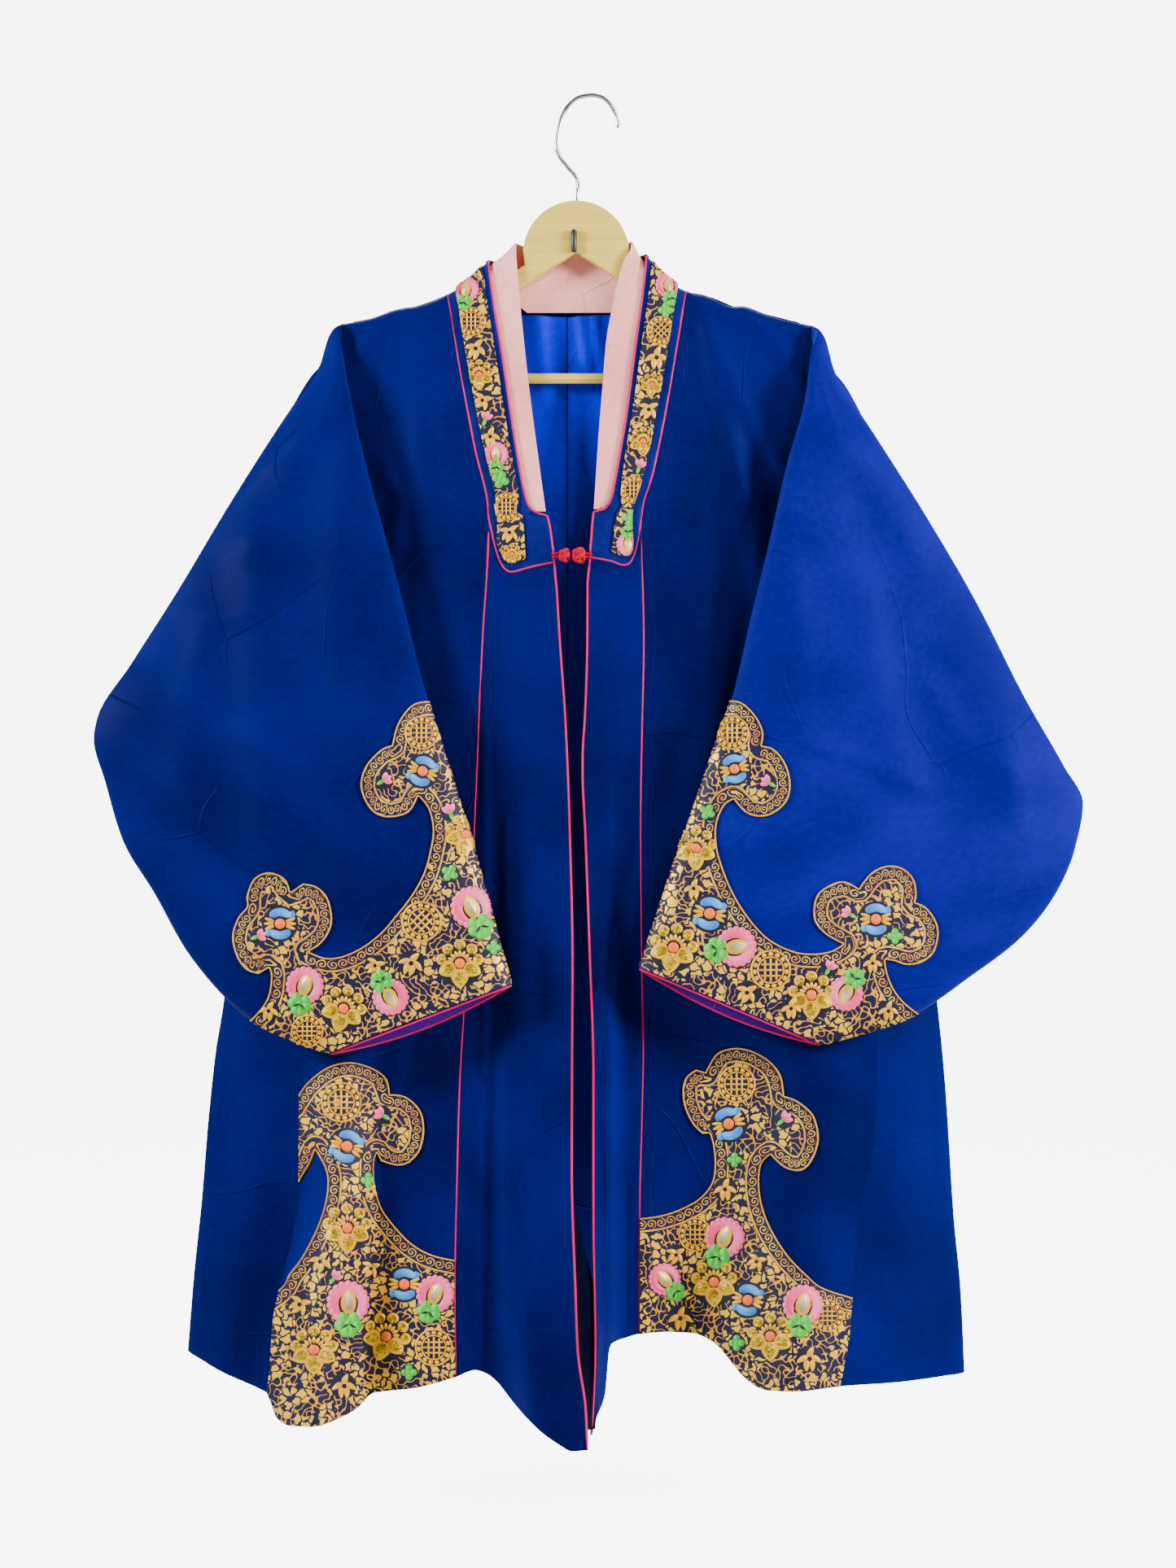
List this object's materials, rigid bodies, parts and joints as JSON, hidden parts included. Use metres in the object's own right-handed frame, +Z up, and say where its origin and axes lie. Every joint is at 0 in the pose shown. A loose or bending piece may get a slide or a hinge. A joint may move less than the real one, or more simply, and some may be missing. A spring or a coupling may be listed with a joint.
{
  "type": "haori coat on a wooden hanger",
  "caption": "Open-front wide-sleeved blue satin coat with piped collar band, brocade cloud panels and a knotted button, hung on a wooden hanger.",
  "frame": {"origin": "inside of the hook's crown, where the rail bears", "axes": "+Z up along the coat, front faces -Y, +X to the viewer's right"},
  "size_m": [0.8601, 0.1573, 1.1775],
  "materials": {
    "satin": "deep blue satin weave with a soft sheen",
    "band": "dark navy silk",
    "ribbon": "embroidered ribbon, gold with pink and green",
    "inner_collar": "pale pink silk",
    "lining": "bright blue lining silk",
    "facing": "violet facing silk",
    "brocade": "gold brocade on navy",
    "piping": "crimson silk piping",
    "knot": "crimson silk cord",
    "wood": "pale satin varnish",
    "steel": "bright drawn wire",
    "enamel": "black"
  },
  "bodies": {
    "root": {"front_side_left": "satin", "front_side_right": "satin", "front_centre_left": "satin", "front_centre_right": "satin", "back_left": "satin", "back_right": "satin", "sleeve_left": "satin", "sleeve_right": "satin", "collar_band_left": "band", "collar_band_right": "band", "collar_ribbon_left": "ribbon", "collar_ribbon_right": "ribbon", "inner_collar_left": "inner_collar", "inner_collar_right": "inner_collar", "lining_back_left": "lining", "lining_back_right": "lining", "cuff_facing_left": "facing", "cuff_facing_right": "facing", "brocade_cuff_left": "brocade", "brocade_cuff_right": "brocade", "brocade_hem_left": "brocade", "brocade_hem_right": "brocade", "piping_edge_left": "piping", "piping_edge_right": "piping", "piping_band_left": "piping", "piping_band_right": "piping", "piping_princess_left": "piping", "piping_princess_right": "piping", "piping_cuff_left": "piping", "piping_cuff_right": "piping", "frog_button": "knot", "frog_loop": "knot", "hanger_board": "wood", "hanger_bar": "wood", "hanger_hook": "steel", "hanger_peg": "enamel"}
  },
  "joints": []
}
